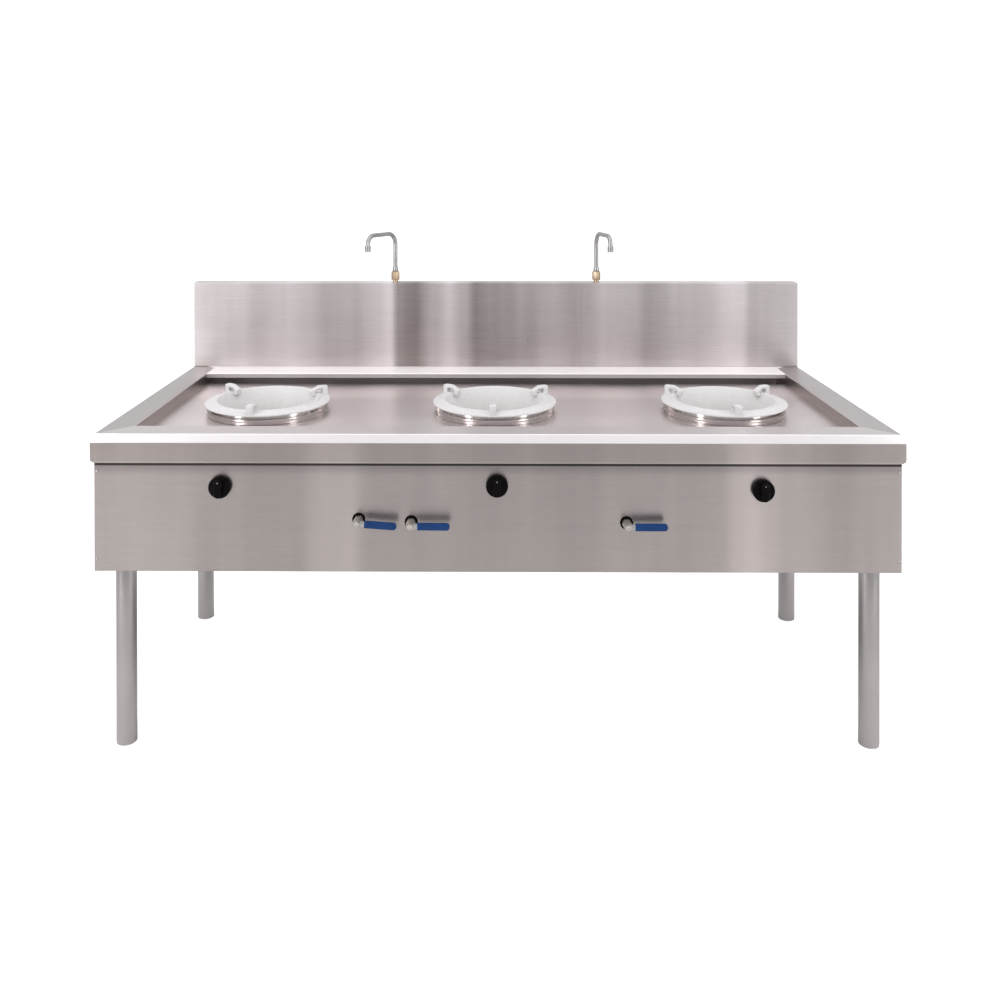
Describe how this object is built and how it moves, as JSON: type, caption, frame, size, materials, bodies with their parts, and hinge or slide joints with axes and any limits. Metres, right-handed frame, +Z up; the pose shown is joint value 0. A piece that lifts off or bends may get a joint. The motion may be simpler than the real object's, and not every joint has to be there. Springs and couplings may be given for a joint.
{
  "type": "wok range",
  "caption": "Free-standing stainless gas wok range on tubular legs: rimmed worktop, cast wok rings in polished collars, rinse gutter, backsplash, lever valves and swivel spouts.",
  "frame": {"origin": "on the floor, under the middle of the bounding box", "axes": "+X to the cook's right along the range, +Y to the backsplash, +Z up; the front faces -Y"},
  "size_m": [2, 0.9048, 1.249],
  "materials": {
    "worktop_steel": "worktop and gutter sheet, satin",
    "rim_steel": "folded rim and ledge sheet, satin",
    "panel_steel": "folded panel sheet, satin with a soft vertical grain",
    "tube_steel": "stainless leg and water tube, satin",
    "frame_paint": "grey painted steel tube and brackets",
    "polished_steel": "polished stainless collar and screws",
    "ring_casting": "cast iron in silver heat-proof paint, slightly rough",
    "bare_casting": "bare cast iron, matt",
    "chamber_steel": "heat-proof painted sheet",
    "lining": "light castable refractory, rough",
    "brass": "turned brass, satin",
    "gas_pipe_paint": "yellow painted gas pipe",
    "feed_tube": "drawn aluminium tube",
    "chrome": "chrome plate",
    "valve_body": "nickel-plated brass",
    "knob_plastic": "black phenolic, half gloss",
    "sleeve_vinyl": "blue dipped vinyl",
    "foot_plastic": "black plastic"
  },
  "bodies": {
    "range": {"leg_front_left": "tube_steel", "leg_front_right": "tube_steel", "leg_rear_left": "tube_steel", "leg_rear_right": "tube_steel", "foot_plugs": "foot_plastic", "leg_sockets": "frame_paint", "lower_frame": "frame_paint", "upper_frame": "frame_paint", "corner_posts": "frame_paint", "cross_bearers": "frame_paint", "worktop": "worktop_steel", "front_rim": "rim_steel", "left_rim": "rim_steel", "right_rim": "rim_steel", "rear_ledge": "rim_steel", "backsplash": "panel_steel", "backsplash_rear_cover": "panel_steel", "front_panel": "panel_steel", "left_side_panel": "panel_steel", "right_side_panel": "panel_steel", "rear_panel": "panel_steel", "panel_brackets": "frame_paint", "panel_screws": "polished_steel", "rear_gutter": "worktop_steel", "drain_outlet": "tube_steel", "rinse_pipe": "tube_steel", "burner_collar_left": "polished_steel", "burner_collar_centre": "polished_steel", "burner_collar_right": "polished_steel", "fire_chambers": "chamber_steel", "chamber_linings": "lining", "burner_heads": "bare_casting", "gas_injectors": "brass", "gas_manifold": "gas_pipe_paint", "gas_valves": "brass", "gas_feed_tubes": "feed_tube", "water_manifold": "tube_steel", "ball_valve_bodies": "valve_body", "water_risers": "tube_steel", "spout_unions": "brass"},
    "wok_ring_left": {"wok_ring_left": "ring_casting"},
    "wok_ring_centre": {"wok_ring_centre": "ring_casting"},
    "wok_ring_right": {"wok_ring_right": "ring_casting"},
    "gas_knob_left": {"gas_knob_left": "knob_plastic", "gas_stem_left": "brass"},
    "gas_knob_centre": {"gas_knob_centre": "knob_plastic", "gas_stem_centre": "brass"},
    "gas_knob_right": {"gas_knob_right": "knob_plastic", "gas_stem_right": "brass"},
    "valve_lever_left": {"valve_lever_left": "chrome", "lever_sleeve_left": "sleeve_vinyl", "valve_stem_left": "chrome"},
    "valve_lever_rinse": {"valve_lever_rinse": "chrome", "lever_sleeve_rinse": "sleeve_vinyl", "valve_stem_rinse": "chrome"},
    "valve_lever_right": {"valve_lever_right": "chrome", "lever_sleeve_right": "sleeve_vinyl", "valve_stem_right": "chrome"},
    "spout_left": {"spout_left": "chrome"},
    "spout_right": {"spout_right": "chrome"}
  },
  "joints": [
    {"name": "wok_ring_left_lift", "type": "slide", "parent": "range", "child": "wok_ring_left", "axis": [0, 0, 1], "range_m": [0, 0.08]},
    {"name": "wok_ring_centre_lift", "type": "slide", "parent": "range", "child": "wok_ring_centre", "axis": [0, 0, 1], "range_m": [0, 0.08]},
    {"name": "wok_ring_right_lift", "type": "slide", "parent": "range", "child": "wok_ring_right", "axis": [0, 0, 1], "range_m": [0, 0.08]},
    {"name": "gas_knob_left_turn", "type": "hinge", "parent": "range", "child": "gas_knob_left", "pos_m": [-0.68, -0.42262, 0.676], "axis": [0, -1, 0], "range_deg": [0, 90]},
    {"name": "gas_knob_centre_turn", "type": "hinge", "parent": "range", "child": "gas_knob_centre", "pos_m": [0.001, -0.42262, 0.68], "axis": [0, -1, 0], "range_deg": [0, 90]},
    {"name": "gas_knob_right_turn", "type": "hinge", "parent": "range", "child": "gas_knob_right", "pos_m": [0.652, -0.42262, 0.67], "axis": [0, -1, 0], "range_deg": [0, 90]},
    {"name": "valve_lever_left_turn", "type": "hinge", "parent": "range", "child": "valve_lever_left", "pos_m": [-0.339, -0.42262, 0.595], "axis": [0, -1, 0], "range_deg": [0, 90]},
    {"name": "valve_lever_rinse_turn", "type": "hinge", "parent": "range", "child": "valve_lever_rinse", "pos_m": [-0.21, -0.42262, 0.589], "axis": [0, -1, 0], "range_deg": [0, 90]},
    {"name": "valve_lever_right_turn", "type": "hinge", "parent": "range", "child": "valve_lever_right", "pos_m": [0.319, -0.42262, 0.588], "axis": [0, -1, 0], "range_deg": [0, 90]},
    {"name": "spout_left_swivel", "type": "hinge", "parent": "range", "child": "spout_left", "pos_m": [-0.33, 0.40387, 1.13], "axis": [0, 0, 1], "range_deg": [-60, 120]},
    {"name": "spout_right_swivel", "type": "hinge", "parent": "range", "child": "spout_right", "pos_m": [0.335, 0.40387, 1.13], "axis": [0, 0, 1], "range_deg": [-101, 79]}
  ]
}
